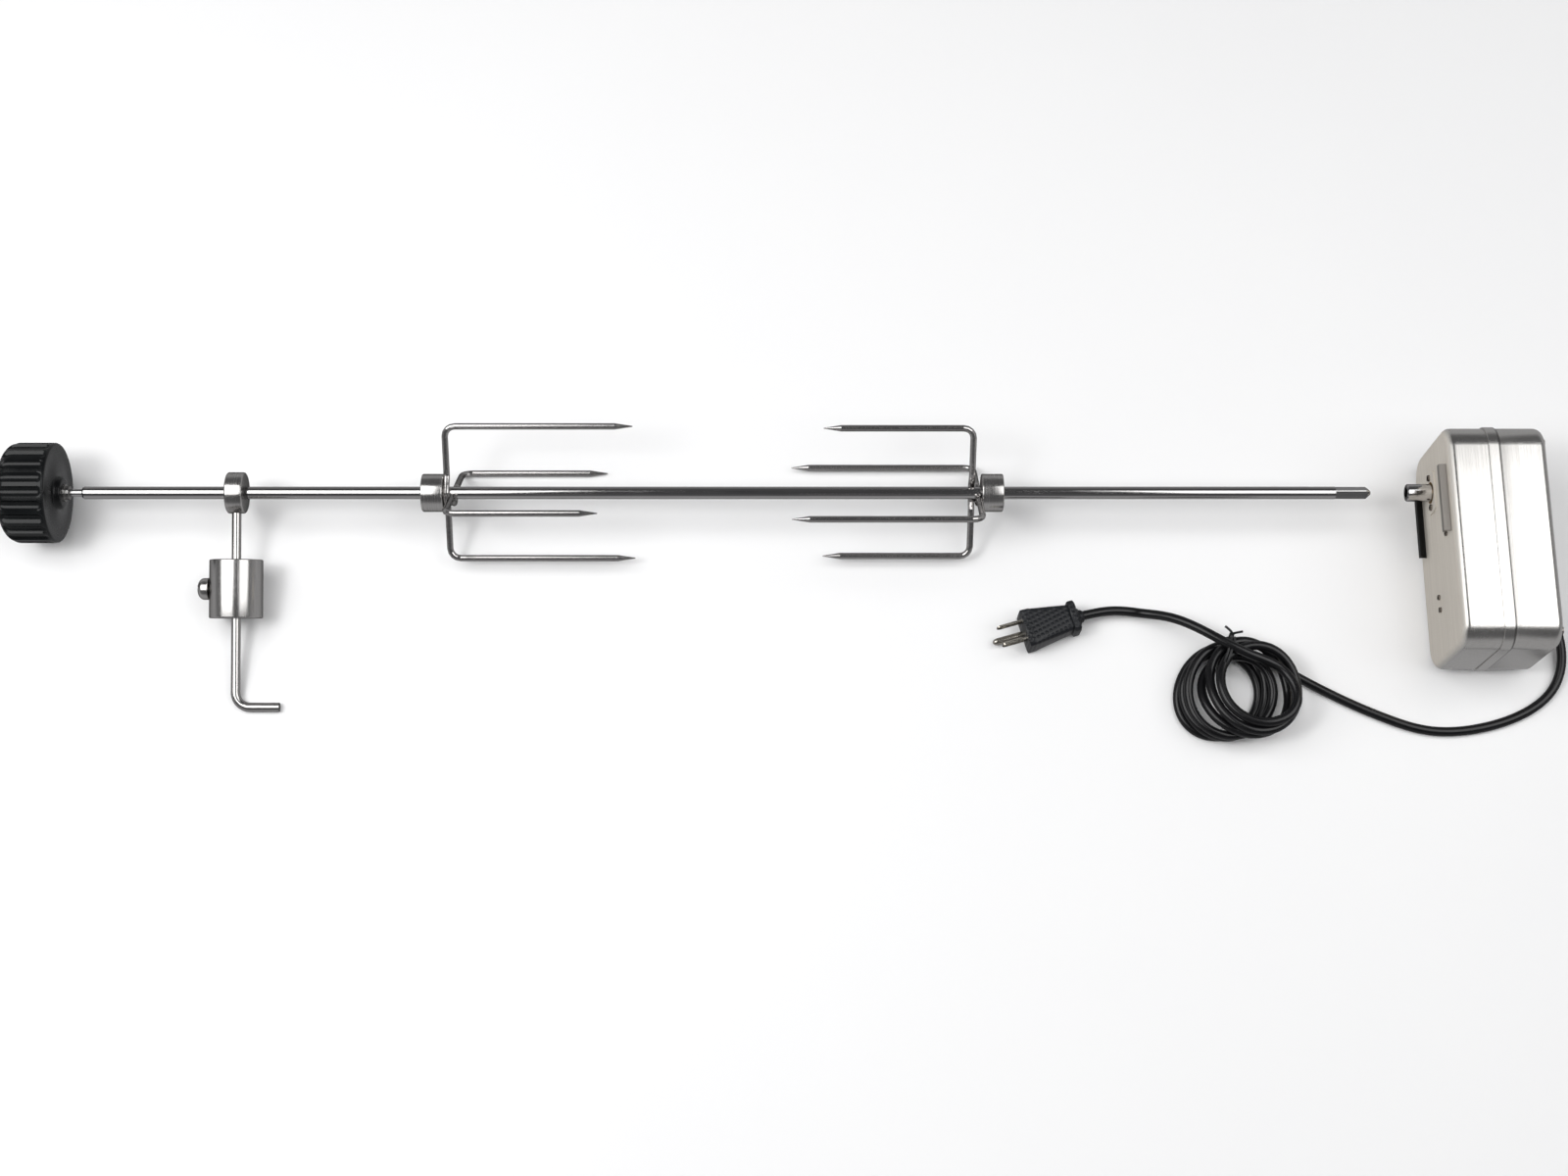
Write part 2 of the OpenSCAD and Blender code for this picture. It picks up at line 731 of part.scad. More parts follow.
module coil_bobbin() {
    from = cup_x + 2;
    w = cup_w - 5;
    color("white") difference() {
        bar(from, rotor_y, axis_h, cup_d - 4, w);
        bar(from - 1, rotor_y, axis_h, magnet_d + 1.5, w + 2);
        difference() {
            bar(from + 1.5, rotor_y, axis_h, cup_d, w - 3);
            bar(from, rotor_y, axis_h, magnet_d + 4.5, w);
        }
    }
}

module coil_winding() {
    from = cup_x + 3.5;
    w = cup_w - 8;
    color("chocolate") difference() {
        bar(from, rotor_y, axis_h, cup_d - 6, w);
        bar(from - 1, rotor_y, axis_h, magnet_d + 4.5, w + 2);
    }
}

// ---------------------------------------------------------------- switch

module switch_bezel() {
    depth = 14;
    color("#202022") difference() {
        union() {
            translate([rear_x, switch_y - 11, shell_z - 8]) cube([1.2, 22, 16]);
            translate([rear_x - depth, switch_y - 9, shell_z - 6.5]) cube([depth + 0.5, 18, 13]);
        }
        translate([rear_x - depth + 2, switch_y - 8.2, shell_z - 5.8]) cube([20, 16.4, 11.6]);
        rocker_axis(20, pivot_d + 2 * fit);
    }
}

// A cylinder on the rocker's axis
module rocker_axis(len, d) {
    translate([rear_x - rocker_hinge, switch_y - len / 2, shell_z]) rotate([-90, 0, 0])
        cylinder(h = len, d = d);
}

module switch_rocker() {
    color("#101012") union() {
        translate([rear_x - rocker_hinge, switch_y, shell_z]) rotate([0, -rocker_tilt, 0])
            translate([-4, -rocker_w / 2, -rocker_h / 2]) cube([4 + rocker_top, rocker_w, rocker_h]);
        rocker_axis(17.6, pivot_d);
    }
}

// ---------------------------------------------------------------- mains lead and plug

module strain_relief() {
    base_d = 13;
    end_d = cord_d + 2.4;
    color("#18181a") union() {
        translate(relief_at) rotate([0, 0, relief_yaw]) rotate([0, 90 + relief_pitch, 0])
            translate([0, 0, -6]) cylinder(h = relief_len + 6, d1 = base_d, d2 = end_d);
        translate([rear_x, relief_at[1] - 1, relief_at[2]]) rotate([0, 90, 0])
            cylinder(h = 2.4, d1 = 21, d2 = 18.5);
    }
}

module cord_tube(route) {
    color("#141416") sweep(route, [for (p = route) cord_d / 2], 10, [0, 0, 1]);
}
module cord_lead() { cord_tube(concat([cord_start], lead_route)); }
module cord_tail() { cord_tube(concat(tail_route, [plug_at])); }

module cord_coil() {
    color("#141416") linear_extrude(height = coil_h) hull() {
        for (lobe = [left_lobe, right_lobe]) {
            translate([lobe[0], lobe[1]]) circle(r = lobe[2]);
        }
        translate(tie_at) circle(r = tie_r);
    }
}

module cord_tie() {
    stub = 8;
    color("#242426") translate([tie_at[0], tie_at[1] + tie_r + stub - 1, coil_h - 14])
        rotate([90, 0, 0]) cylinder(h = stub, d = 5);
}

// The plug's own X runs from the cord to the blades
module on_plug() {
    translate(plug_at) rotate([0, 0, plug_yaw]) children();
}

module plug_body() {
    neck_l = 5;
    body_l = 36;
    color("#1a1a1c") on_plug() difference() {
        union() {
            hull() {
                translate([9, -9.5, -8.5]) cube([1, 19, 17]);
                translate([body_l, -13.2, -11]) cube([6, 26.4, 23]);
            }
            translate([4, -11, -10]) cube([neck_l, 22, 20]);
            rotate([0, 90, 0]) cylinder(h = neck_l, d1 = cord_d + 3, d2 = 14);
        }
    }
}

module plug_blades() {
    color("silver") on_plug() for (y = [-6.35, 6.35]) {
        translate([42, y - 0.75, 2.5]) cube([17.5, 1.5, 6.4]);
    }
}

module plug_earth_pin() {
    color("silver") on_plug() translate([42, 0, -6.2]) rotate([0, 90, 0]) union() {
        cylinder(h = 19.4, d = 4.8);
        translate([0, 0, 19.4]) cylinder(h = 2, d1 = 4.8, d2 = 2);
    }
}

spit_rod();
handle_knob();
knob_insert();
knob_ferrule();
balance_collar();
balance_arm();
balance_weight();
weight_thumbscrew();
left_fork_hub();
left_long_prongs();
left_short_prongs();
left_fork_screw();
right_fork_hub();
right_long_prongs();
right_short_prongs();
right_fork_screw();
front_shell();
rear_shell();
upper_rail();
lower_rail();
face_screws();
shell_posts();
shell_screws();
socket_flange();
output_bushes();
drive_socket();
output_gear();
front_plate();
rear_plate();
plate_pillars();
gear_pins();
second_gear();
first_gear();
rotor_magnet();
rotor_shaft();
rotor_pinion();
stator_cup();
coil_bobbin();
coil_winding();
switch_bezel();
switch_rocker();
strain_relief();
cord_lead();
cord_coil();
cord_tail();
cord_tie();
plug_body();
plug_blades();
plug_earth_pin();
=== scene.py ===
"""Looks of a grill rotisserie kit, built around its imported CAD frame. Lengths are in metres."""

import json
import math

import bmesh
import bpy
import numpy as np
from mathutils import Matrix, Vector


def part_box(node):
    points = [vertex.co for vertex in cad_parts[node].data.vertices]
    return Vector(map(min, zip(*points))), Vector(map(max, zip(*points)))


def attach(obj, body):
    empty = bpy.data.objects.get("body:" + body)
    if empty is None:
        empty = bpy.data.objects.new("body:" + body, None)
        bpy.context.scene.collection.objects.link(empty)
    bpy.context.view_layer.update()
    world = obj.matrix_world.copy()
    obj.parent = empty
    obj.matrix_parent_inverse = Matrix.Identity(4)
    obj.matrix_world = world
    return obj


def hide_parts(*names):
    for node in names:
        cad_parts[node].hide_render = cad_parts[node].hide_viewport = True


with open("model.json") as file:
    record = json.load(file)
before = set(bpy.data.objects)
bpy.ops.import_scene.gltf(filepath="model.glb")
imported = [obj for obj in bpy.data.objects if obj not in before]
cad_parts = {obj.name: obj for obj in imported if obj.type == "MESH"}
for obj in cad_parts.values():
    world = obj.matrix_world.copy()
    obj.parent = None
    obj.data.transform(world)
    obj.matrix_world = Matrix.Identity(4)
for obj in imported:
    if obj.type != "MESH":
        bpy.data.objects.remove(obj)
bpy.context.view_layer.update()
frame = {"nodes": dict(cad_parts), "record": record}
scene = bpy.context.scene
MM = 0.001


# ------------------------------------------------------------------ camera and light

def make_camera():
    elevation = math.radians(73.5)
    distance = 1.5858
    target = Vector((0.0087, -0.0035, 0.0))
    back = Vector((0, -math.cos(elevation), math.sin(elevation)))
    camera = bpy.data.objects.new("camera", bpy.data.cameras.new("camera"))
    camera.data.sensor_width = 36.0
    camera.data.lens = 52.47
    camera.data.clip_start = 0.05
    camera.location = target + back * distance
    camera.rotation_mode = "QUATERNION"
    camera.rotation_quaternion = (-back).to_track_quat("-Z", "Y")
    scene.collection.objects.link(camera)
    scene.camera = camera


def area_light(name, at, aim, size, watts, in_reflections=True):
    """A rectangular softbox at a point, aimed at another."""
    light = bpy.data.lights.new(name, "AREA")
    light.shape = "RECTANGLE"
    light.size, light.size_y = size
    light.energy = watts
    lamp = bpy.data.objects.new(name, light)
    lamp.location = at
    lamp.rotation_mode = "QUATERNION"
    lamp.rotation_quaternion = (Vector(aim) - Vector(at)).to_track_quat("-Z", "Y")
    lamp.visible_glossy = in_reflections
    scene.collection.objects.link(lamp)


def make_studio():
    """A pale table, two softboxes with a dark gap between them, a key and an overhead light."""
    world = bpy.data.worlds.new("studio")
    scene.world = world
    world.use_nodes = True
    tree = world.node_tree
    back = tree.nodes["Background"]
    coords = tree.nodes.new("ShaderNodeTexCoord")
    split = tree.nodes.new("ShaderNodeSeparateXYZ")
    ramp = tree.nodes.new("ShaderNodeValToRGB")
    tree.links.new(coords.outputs["Generated"], split.inputs[0])
    tree.links.new(split.outputs["Z"], ramp.inputs[0])
    tree.links.new(ramp.outputs[0], back.inputs["Color"])
    stops = ramp.color_ramp.elements
    stops[0].color = rgb(0.62, 0.62, 0.63)
    stops[1].color = rgb(0.10, 0.10, 0.105)
    middle = stops.new(0.30)
    middle.color = rgb(0.20, 0.20, 0.205)
    back.inputs["Strength"].default_value = 0.5

    area_light("left_softbox", (-1.22, 0.05, 1.62), aim=(-0.72, 0, 0), size=(1.6, 1.8), watts=22)
    area_light("right_softbox", (1.38, 0.05, 1.62), aim=(0.91, 0, 0), size=(1.6, 1.75), watts=16)
    area_light("key", (-0.95, -0.25, 1.66), aim=(0, 0, 0), size=(0.42, 0.42), watts=9,
               in_reflections=False)
    area_light("overhead", (0.1, -0.1, 2.6), aim=(0.1, 0, 0), size=(2.6, 2.0), watts=24,
               in_reflections=False)

    floor = bpy.data.objects.new("floor", bpy.data.meshes.new("floor"))
    reach = 4.0
    corners = [(-reach, -reach, 0), (reach, -reach, 0), (reach, reach, 0), (-reach, reach, 0)]
    floor.data.from_pydata(corners, [], [(0, 1, 2, 3)])
    floor.data.materials.append(table_paint())
    floor.visible_glossy = False      # metal mirrors the dimmer room below the horizon instead
    scene.collection.objects.link(floor)
    scene.view_settings.view_transform = "Standard"


# ------------------------------------------------------------------ material nodes

class Nodes:
    """A small helper that adds and links shader nodes of one material."""

    def __init__(self, name):
        self.material = bpy.data.materials.new(name)
        self.material.use_nodes = True
        self.tree = self.material.node_tree
        self.shader = self.tree.nodes["Principled BSDF"]

    def set(self, **sockets):
        for name, value in sockets.items():
            self.shader.inputs[name.replace("_", " ")].default_value = value

    def add(self, kind, settings=(), **inputs):
        node = self.tree.nodes.new("ShaderNode" + kind)
        for key, value in dict(settings).items():
            setattr(node, key, value)
        for name, value in inputs.items():
            self.feed(node, name.replace("_", " "), value)
        return node

    def feed(self, node, socket, value):
        key = int(socket[2:]) if socket.startswith("in") and socket[2:].isdigit() else socket
        if isinstance(value, bpy.types.NodeSocket):
            self.tree.links.new(value, node.inputs[key])
        else:
            node.inputs[key].default_value = value

    def place(self):
        """The row frame's coordinates in metres."""
        return self.add("TexCoord").outputs["Object"]

    def scaled(self, vector, scale, turn=(0, 0, 0)):
        return self.add("Mapping", Vector=vector, Scale=scale, Rotation=turn).outputs[0]

    def noise(self, vector, scale, detail=3.0, rough=0.55):
        node = self.add("TexNoise", Vector=vector, Scale=scale, Detail=detail, Roughness=rough)
        return node.outputs["Fac"]

    def remap(self, value, low, high, start=0.0, end=1.0):
        node = self.add("MapRange", in0=value, in1=start, in2=end, in3=low, in4=high)
        return node.outputs[0]

    def mix(self, fac, a, b):
        node = self.add("Mix", {"data_type": "RGBA"})
        self.feed(node, "in0", fac)
        self.feed(node, "in6", a)
        self.feed(node, "in7", b)
        return node.outputs[2]

    def math(self, kind, a, b=0.0):
        return self.add("Math", {"operation": kind}, in0=a, in1=b).outputs[0]

    def bump(self, height, depth, strength=1.0, under=None):
        node = self.add("Bump", Strength=strength, Distance=depth, Height=height)
        if under is not None:
            self.tree.links.new(under, node.inputs["Normal"])
        return node.outputs[0]

    def colour(self, value):
        self.feed(self.shader, "Base Color", value)

    def rough(self, value):
        self.feed(self.shader, "Roughness", value)

    def normal(self, value):
        self.tree.links.new(value, self.shader.inputs["Normal"])


def rgb(r, g, b):
    """A colour with full opacity."""
    return (r, g, b, 1.0)


def table_paint():
    """The white table top, very slightly uneven in tone."""
    n = Nodes("table_paint")
    tone = n.noise(n.place(), 3.0)
    n.colour(n.mix(tone, rgb(0.86, 0.86, 0.865), rgb(0.89, 0.89, 0.89)))
    n.set(Roughness=0.6, Specular_IOR_Level=0.25)
    return n.material


def steel(name, light, dark, rough, grain, grain_depth):
    """Bare metal. grain is the scale of its fine lines along X, Y and Z."""
    n = Nodes(name)
    place = n.place()
    lines = n.noise(n.scaled(place, grain), 1.0, 2.0, 0.6)
    stains = n.noise(place, 38.0, 4.0, 0.6)
    streaks = n.remap(lines, 0.0, 1.0, 0.30, 0.70)
    tone = n.math("MULTIPLY", streaks, n.remap(stains, 0.75, 1.0, 0.3, 0.7))
    n.colour(n.mix(tone, rgb(*dark), rgb(*light)))
    base = n.remap(streaks, rough * 0.8, rough * 1.25)
    n.rough(n.math("ADD", base, n.remap(stains, 0.0, 0.05, 0.45, 0.8)))
    fine = n.noise(place, 900.0, 2.0, 0.5)
    n.normal(n.bump(fine, grain_depth * 0.4, 0.4, under=n.bump(lines, grain_depth, 1.0)))
    n.set(Metallic=1.0)
    n.set(Specular_Tint=rgb(0.2, 0.2, 0.2))
    return n.material


def housing():
    """Brushed sheet: satin sides with painted shade along the seam, and a matte beige output face."""
    n = Nodes("housing_steel")
    place = n.place()
    lines = n.noise(n.scaled(place, (1500, 12, 1500)), 1.0, 2.0, 0.6)
    stains = n.noise(place, 30.0, 4.0, 0.6)
    split = n.add("SeparateXYZ", Vector=place)
    face, seam = (corner.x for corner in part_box("front_shell"))
    side = n.remap(split.outputs["X"], 0.0, 1.0, face + 0.2 * MM, face + 3.5 * MM)
    streaks = n.remap(lines, 0.0, 1.0, 0.3, 0.7)
    bright = n.mix(streaks, rgb(0.76, 0.74, 0.71), rgb(0.90, 0.885, 0.86))
    matte = n.mix(streaks, rgb(0.64, 0.595, 0.53), rgb(0.74, 0.695, 0.625))
    from_seam = n.math("ABSOLUTE", n.math("SUBTRACT", split.outputs["X"], seam + 0.3 * MM))
    # Painted shade: a dark line along the seam, standing in for the shadow in the gap between the
    # shells.
    seam_shade = n.remap(from_seam, 0.75, 0.0, 0.35 * MM, 1.1 * MM)
    n.colour(n.mix(seam_shade, n.mix(side, matte, bright), rgb(0.05, 0.045, 0.04)))
    spread = n.math("ADD", n.remap(side, 0.62, 0.24), n.remap(stains, 0.0, 0.06, 0.4, 0.8))
    n.rough(spread)
    n.normal(n.bump(lines, 1.2e-6))
    n.feed(n.shader, "Metallic", n.remap(side, 0.35, 1.0))
    return n.material


def rails():
    """Dull pressed channels: grey above, and the lower one painted near black as shade inside its
    channel.
    """
    n = Nodes("rail_steel")
    place = n.place()
    split = n.add("SeparateXYZ", Vector=place)
    high = n.remap(split.outputs["Z"], 0.0, 1.0, 0.03, 0.04)
    grain = n.noise(n.scaled(place, (1200, 40, 1200)), 1.0, 2.0, 0.6)
    grey = n.mix(grain, rgb(0.20, 0.185, 0.17), rgb(0.34, 0.32, 0.295))
    # Painted shade: the lower rail is coloured near black for the shadow inside its open channel.
    lower_rail_shade = n.mix(grain, rgb(0.006, 0.006, 0.006), rgb(0.012, 0.012, 0.012))
    n.colour(n.mix(high, lower_rail_shade, grey))
    n.rough(n.remap(grain, 0.42, 0.58))
    n.normal(n.bump(grain, 3e-6))
    n.set(Metallic=0.6)
    return n.material


def plastic(name, colour, worn, rough, pebble, depth, coat=0.0, shine=0.5, hatch=0.0):
    """Moulded plastic with a fine pebbled skin, and crossed ridges of depth hatch."""
    n = Nodes(name)
    place = n.place()
    skin = n.noise(place, pebble, 3.0, 0.6)
    patch = n.noise(place, 55.0, 4.0, 0.6)
    n.colour(n.mix(n.remap(patch, 0.0, 1.0, 0.35, 0.75), rgb(*colour), rgb(*worn)))
    n.rough(n.remap(patch, rough * 0.85, rough * 1.2, 0.3, 0.7))
    fine = n.bump(skin, depth, 0.6)
    n.set(Specular_IOR_Level=shine)
    if hatch:
        waves = []
        for turn in (45, -45):
            slanted = n.scaled(place, (1, 1, 1), (0, 0, math.radians(turn + 16)))
            wave = n.add("TexWave", Vector=slanted, Scale=95.0)
            waves.append(wave.outputs["Fac"])
        fine = n.bump(n.math("MULTIPLY", *waves), hatch, 1.0, under=fine)
    n.normal(fine)
    if coat:
        n.set(Coat_Weight=coat, Coat_Roughness=0.2)
    return n.material


def make_materials():
    """One material for each material slot of the record."""
    along_x = (12, 1600, 1600)
    around_x = (2600, 30, 30)
    return {
        "polished_steel": steel("polished_steel", (0.80, 0.79, 0.785), (0.66, 0.65, 0.645), 0.10,
                                (18, 1500, 1500), 1.2e-6),
        "wire_steel": steel("wire_steel", (0.76, 0.74, 0.73), (0.60, 0.585, 0.575), 0.17,
                            along_x, 3e-6),
        "turned_steel": steel("turned_steel", (0.82, 0.805, 0.79), (0.68, 0.665, 0.65), 0.21,
                              around_x, 1.5e-6),
        "housing_steel": housing(),
        "rail_steel": rails(),
        "screw_steel": steel("screw_steel", (0.42, 0.39, 0.36), (0.26, 0.235, 0.21), 0.28,
                             (900, 900, 900), 4e-6),
        "insert_brass": steel("insert_brass", (0.80, 0.60, 0.30), (0.60, 0.42, 0.18), 0.24,
                              around_x, 3e-6),
        "bush_bronze": steel("bush_bronze", (0.64, 0.45, 0.27), (0.42, 0.28, 0.15), 0.32,
                             (1500, 900, 900), 4e-6),
        "gear_steel": steel("gear_steel", (0.58, 0.57, 0.55), (0.40, 0.39, 0.37), 0.30,
                            (1700, 60, 60), 4e-6),
        "plate_zinc": steel("plate_zinc", (0.66, 0.68, 0.70), (0.48, 0.50, 0.53), 0.34,
                            (40, 300, 300), 3e-6),
        "copper_wire": steel("copper_wire", (0.80, 0.36, 0.18), (0.52, 0.19, 0.08), 0.25,
                             (2600, 40, 40), 3e-5),
        "magnet_ferrite": steel("magnet_ferrite", (0.12, 0.12, 0.125), (0.07, 0.07, 0.075), 0.5,
                                (600, 600, 600), 5e-6),
        "blade_metal": steel("blade_metal", (0.74, 0.70, 0.63), (0.58, 0.54, 0.47), 0.20,
                             (60, 900, 1400), 2e-6),
        "knob_plastic": plastic("knob_plastic", (0.004, 0.0045, 0.005), (0.007, 0.008, 0.0085),
                                0.25, 1500, 3e-6, shine=0.38),
        "switch_plastic": plastic("switch_plastic", (0.012, 0.012, 0.013), (0.022, 0.022, 0.023),
                                  0.22, 1200, 8e-6, coat=0.2),
        "relief_rubber": plastic("relief_rubber", (0.007, 0.007, 0.0075), (0.014, 0.014, 0.015),
                                 0.42, 1300, 1e-5),
        "cord_pvc": plastic("cord_pvc", (0.004, 0.004, 0.0046), (0.008, 0.008, 0.009), 0.24,
                            700, 6e-6),
        "plug_plastic": plastic("plug_plastic", (0.008, 0.009, 0.011), (0.016, 0.017, 0.020), 0.36,
                                1400, 1e-5, shine=0.4, hatch=3.5e-4),
        "tie_wire": plastic("tie_wire", (0.010, 0.010, 0.011), (0.03, 0.03, 0.032), 0.4, 900, 2e-5),
        "gear_nylon": plastic("gear_nylon", (0.80, 0.77, 0.68), (0.87, 0.85, 0.78), 0.42,
                              1000, 1e-5),
        "bobbin_plastic": plastic("bobbin_plastic", (0.74, 0.74, 0.72), (0.82, 0.82, 0.80), 0.45,
                                  1000, 1e-5),
    }


make_camera()
make_studio()
material = make_materials()


# ------------------------------------------------------------------ mesh helpers

def finish_mesh(name, bm, slot, body, replaced=(), crease=38):
    """Makes an object of a bmesh, smooth except at edges sharper than crease degrees."""
    bmesh.ops.recalc_face_normals(bm, faces=bm.faces)
    mesh = bpy.data.meshes.new(name)
    bm.to_mesh(mesh)
    bm.free()
    mesh.shade_smooth()
    mesh.set_sharp_from_angle(angle=math.radians(crease))
    piece = bpy.data.objects.new(name, mesh)
    piece.data.materials.append(material[slot])
    scene.collection.objects.link(piece)
    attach(piece, body)
    if replaced:
        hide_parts(*replaced)
    return piece


def frame_from(direction, up=(0, 0, 1)):
    """A rotation whose X is the direction."""
    x = Vector(direction).normalized()
    y = Vector(up).cross(x).normalized()
    z = x.cross(y)
    return Matrix((x, y, z)).transposed()


def skin(bm, rings):
    """Faces between closed rings of points that have the same count, with both ends capped."""
    made = [[bm.verts.new(p) for p in ring] for ring in rings]
    count = len(made[0])
    for a, b in zip(made[:-1], made[1:]):
        for k in range(count):
            m = (k + 1) % count
            bm.faces.new((a[k], a[m], b[m], b[k]))
    bm.faces.new(list(reversed(made[0])))
    bm.faces.new(made[-1])


def lathe(bm, profile, origin, direction, sides=64, up=(0, 0, 1)):
    """A turned shape: profile points are (distance along the axis, radius). Radius 0 closes it."""
    turn = frame_from(direction, up)
    origin = Vector(origin)
    rings = []
    for t, r in profile:
        if r < 1e-9:
            rings.append([bm.verts.new(origin + turn @ Vector((t, 0, 0)))])
            continue
        ring = []
        for k in range(sides):
            a = 2 * math.pi * k / sides
            ring.append(bm.verts.new(origin + turn @ Vector((t, r * math.cos(a), r * math.sin(a)))))
        rings.append(ring)
    for a, b in zip(rings[:-1], rings[1:]):
        for k in range(sides):
            m = (k + 1) % sides
            if len(a) == 1 and len(b) == 1:
                break
            if len(a) == 1:
                bm.faces.new((a[0], b[m], b[k]))
            elif len(b) == 1:
                bm.faces.new((a[k], a[m], b[0]))
            else:
                bm.faces.new((a[k], a[m], b[m], b[k]))
    if profile[0] == profile[-1]:
        bmesh.ops.remove_doubles(bm, verts=bm.verts, dist=1e-7)


def carried_rings(path, radii, sides, up=(0, 0, 1)):
    """Rings of a tube along a path, carried along it without twist."""
    path = [Vector(p) for p in path]
    rings = []
    side = None
    for i, p in enumerate(path):
        along = (path[min(i + 1, len(path) - 1)] - path[max(i - 1, 0)]).normalized()
        if side is None:
            side = Vector(up)
        side = (side - along * side.dot(along)).normalized()
        other = along.cross(side)
        rings.append([p + radii[i] * (math.cos(2 * math.pi * k / sides) * side
                                      + math.sin(2 * math.pi * k / sides) * other)
                      for k in range(sides)])
    return rings


def smooth_path(points, step):
    """Points at an even spacing along a Catmull-Rom curve through the given points."""
    p = np.array(points, float)
    p = np.vstack([2 * p[0] - p[1], p, 2 * p[-1] - p[-2]])
    dense = []
    for i in range(1, len(p) - 2):
        a, b, c, d = p[i - 1:i + 3]
        for k in range(16):
            t = k / 16
            dense.append(0.5 * (2 * b + (c - a) * t + (2 * a - 5 * b + 4 * c - d) * t * t
                                + (3 * b - a - 3 * c + d) * t ** 3))
    dense.append(p[-2])
    dense = np.array(dense)
    run = np.concatenate([[0], np.cumsum(np.linalg.norm(np.diff(dense, axis=0), axis=1))])
    even = np.linspace(0, run[-1], max(2, int(round(run[-1] / step)) + 1))
    return np.stack([np.interp(even, run, dense[:, k]) for k in range(3)], axis=1)


# ------------------------------------------------------------------ mains lead

# Lengths and points of the lead are in millimetres
CORD_D = 6.4
CORD_Z = CORD_D / 2 + 0.1
BOOT_LEN = 24
LEAD_ROUTE = [
    (540, -41, 7.5), (542, -53, 4.5), (541, -66, CORD_Z), (534, -79, CORD_Z), (522, -89, CORD_Z),
    (508, -96.5, CORD_Z), (492, -102, CORD_Z), (475, -105.5, CORD_Z), (458, -107, CORD_Z),
    (440, -105, CORD_Z), (423, -99, CORD_Z), (406, -92, CORD_Z), (389, -84, CORD_Z),
    (372, -75, CORD_Z), (356, -66, 3.6), (343, -59, 4.5),
]
UNDER_TIE = [(331, -62, CORD_Z), (318, -56.5, CORD_Z), (306, -50, CORD_Z)]
TAIL_ROUTE = [
    (296.5, -43.5, 4.5), (286, -36.5, 3.6), (274, -29.5, CORD_Z), (260, -24.5, CORD_Z),
    (246, -22, 4.5), (233, -22, 7.5), (222, -24.4, 10.5),
]
PLUG_AT = Vector((213, -27, 11.5))
PLUG_YAW = math.radians(196)
TIE_AT = np.array([316.0, -50.5])
# The loops fan out from the tie: direction of each half turn in degrees
FAN = [-106, -111, -108, -105, -102, -98, -90, -79, -74, -69, -64, -62, -93]
# Half length, half width and offset of each turn, in millimetres
LOOPS = [(34, 29.2, -4.5), (30.2, 28.4, 2), (33.6, 29.2, -4), (30.2, 28.2, 4), (34, 29.4, -5),
         (30.6, 28.6, 1.5), (31, 29, -2)]


def relief_frame():
    """Where the strain relief leaves the rear face, and its direction."""
    yaw, pitch = math.radians(-40), math.radians(8)
    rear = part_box("rear_shell")[1].x
    level = math.cos(pitch)
    along = Vector((level * math.cos(yaw), level * math.sin(yaw), -math.sin(pitch)))
    return Vector((rear, -14 * MM, 14 * MM)), along


def ease(a, b, t):
    """Moves from a to b as t runs from 0 to 1, slow at both ends."""
    w = (1 - math.cos(math.pi * t)) / 2
    return a * (1 - w) + b * w


def coil_turns(turns=6, per_turn=24):
    """The tied coil: loops that all pass through the tie and fan out before it."""
    points = []
    for i in range(1, turns * per_turn - 3):
        turn, t = divmod(i / per_turn, 1.0)
        half, f = divmod(2 * i / per_turn, 1.0)
        axis = math.radians(ease(FAN[int(half)], FAN[int(half) + 1], f))
        a, b, shift = (ease(LOOPS[int(turn)][k], LOOPS[int(turn) + 1][k], t) for k in range(3))
        angle = 2 * math.pi * t
        out = a * (1 - math.cos(angle)) + shift * (0.5 + 0.5 * math.cos(angle))
        side = -b * math.sin(angle)
        along = np.array([math.cos(axis), math.sin(axis)])
        across = np.array([-along[1], along[0]])
        points.append((*(TIE_AT + out * along + side * across), CORD_Z))
    return points


def lay_heights(path, step, crest=95.0, rounds=14):
    """Lifts the line over whatever earlier stretch it crosses, in low and long humps.

    crest is the radius of a hump's top in millimetres.
    """
    index = np.arange(len(path))
    apart, half_hump, blur = int(24 / step), int(45 / step), int(28 / step) | 1
    flat = np.linalg.norm(path[:, None, :2] - path[None, :, :2], axis=2)
    upper, lower = np.nonzero((flat < CORD_D) & (index[:, None] - index[None, :] > apart))
    lift = np.sqrt(CORD_D ** 2 - flat[upper, lower] ** 2)
    hump = -(np.arange(-half_hump, half_hump + 1) * step) ** 2 / (2 * crest)
    kernel = np.hanning(blur)
    kernel /= kernel.sum()
    base = path[:, 2].copy()
    height = base.copy()
    for _ in range(rounds):
        need = base.copy()
        np.maximum.at(need, upper, height[lower] + lift)
        padded = np.pad(need, half_hump, mode="edge")
        around = np.lib.stride_tricks.sliding_window_view(padded, 2 * half_hump + 1)
        raised = np.pad((around + hump).max(axis=1), blur // 2, mode="edge")
        height = np.maximum(np.convolve(raised, kernel, mode="valid"), CORD_Z)
    path[:, 2] = height
    return path


def evened(path, rounds, columns):
    """Averages each inner point with its neighbours, in its first few coordinates."""
    part = path[:, :columns]
    for _ in range(rounds):
        part[2:-2] = (part[1:-3] + 2 * part[2:-2] + part[3:-1]) / 4
    return path


